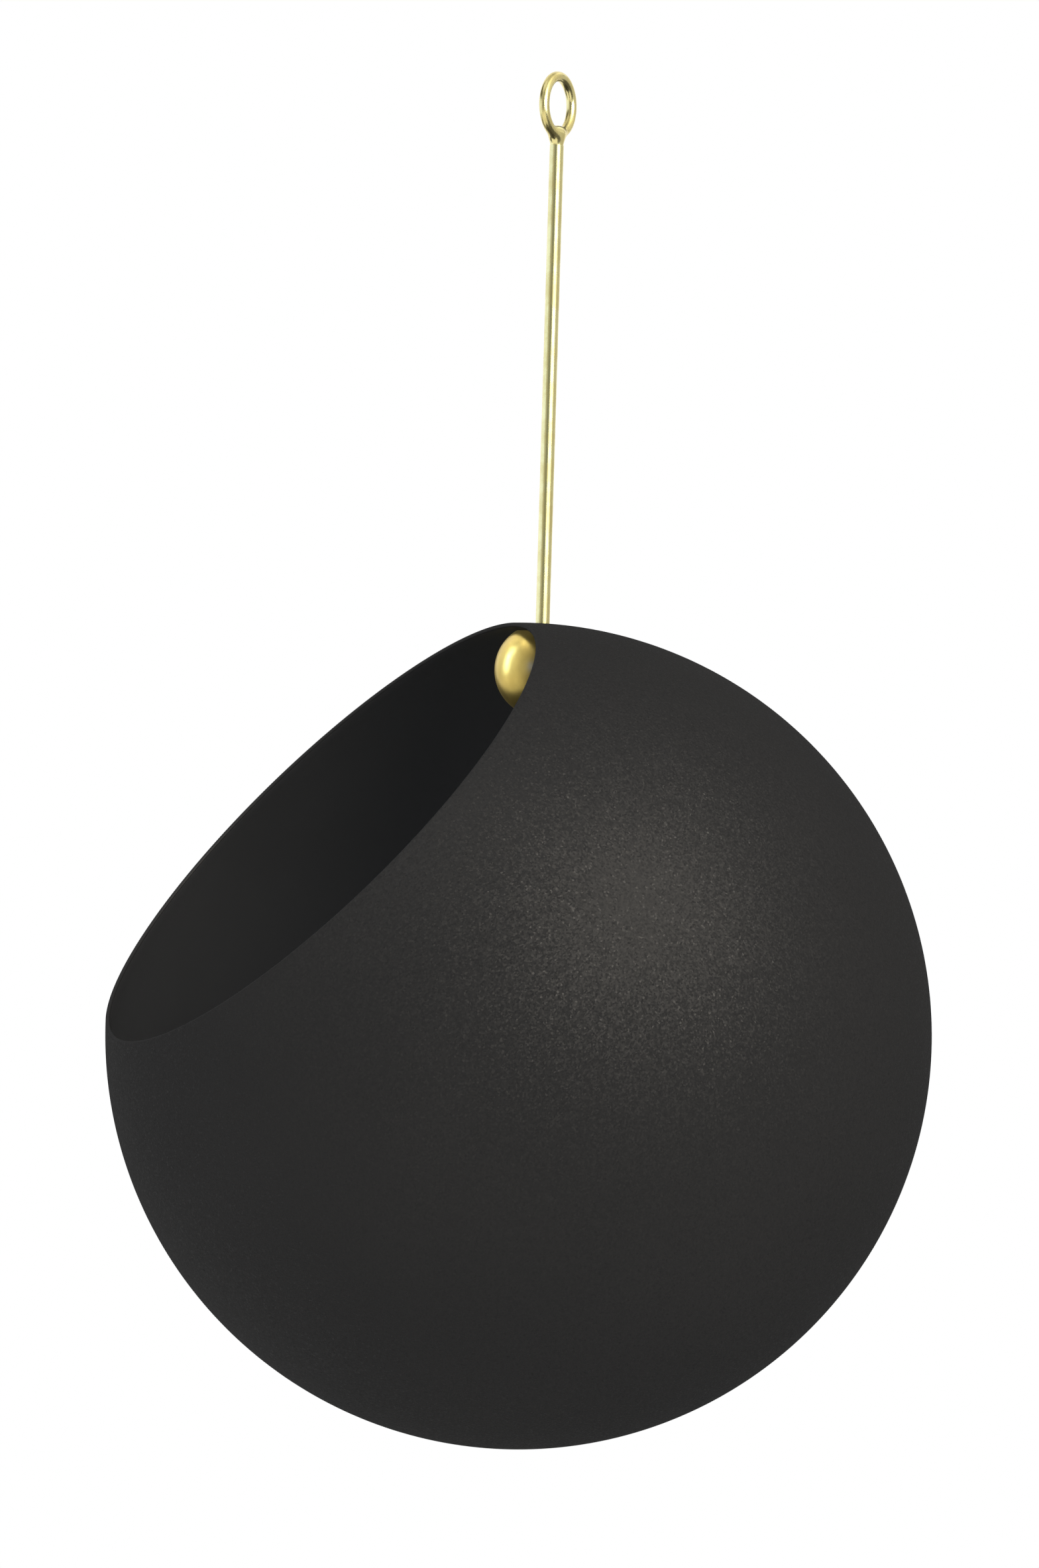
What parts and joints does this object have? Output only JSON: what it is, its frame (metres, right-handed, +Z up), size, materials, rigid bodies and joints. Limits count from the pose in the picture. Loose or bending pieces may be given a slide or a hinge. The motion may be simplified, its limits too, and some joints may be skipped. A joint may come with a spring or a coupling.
{
  "type": "hanging planter",
  "caption": "Thin black metal globe with a slanted round mouth, carried from inside by a ball knob on a straight brass rod that ends in a ring eye for a hook.",
  "frame": {"origin": "top of the eye's hole, where a hook bears", "axes": "+Z up along the rod; the mouth faces -X, and the XZ plane halves the globe"},
  "size_m": [0.1759, 0.1758, 0.2938],
  "materials": {
    "black_coat": "matte black powder coat, finely textured outside and smooth inside",
    "polished_brass": "polished pale brass, softer on the eye",
    "satin_brass": "satin brass"
  },
  "bodies": {
    "hanger": {"eye_ring": "polished_brass", "hanging_rod": "polished_brass"},
    "ball": {"stop_ball": "satin_brass"},
    "pot": {"globe_pot": "black_coat"}
  },
  "joints": [
    {"name": "pot_turn", "type": "hinge", "parent": "hanger", "child": "ball", "pos_m": [0, 0, -0.1257], "axis": [0, 0, 1], "continuous": true},
    {"name": "pot_lift", "type": "slide", "parent": "ball", "child": "pot", "axis": [0, 0, 1], "range_m": [0, 0.103]}
  ]
}
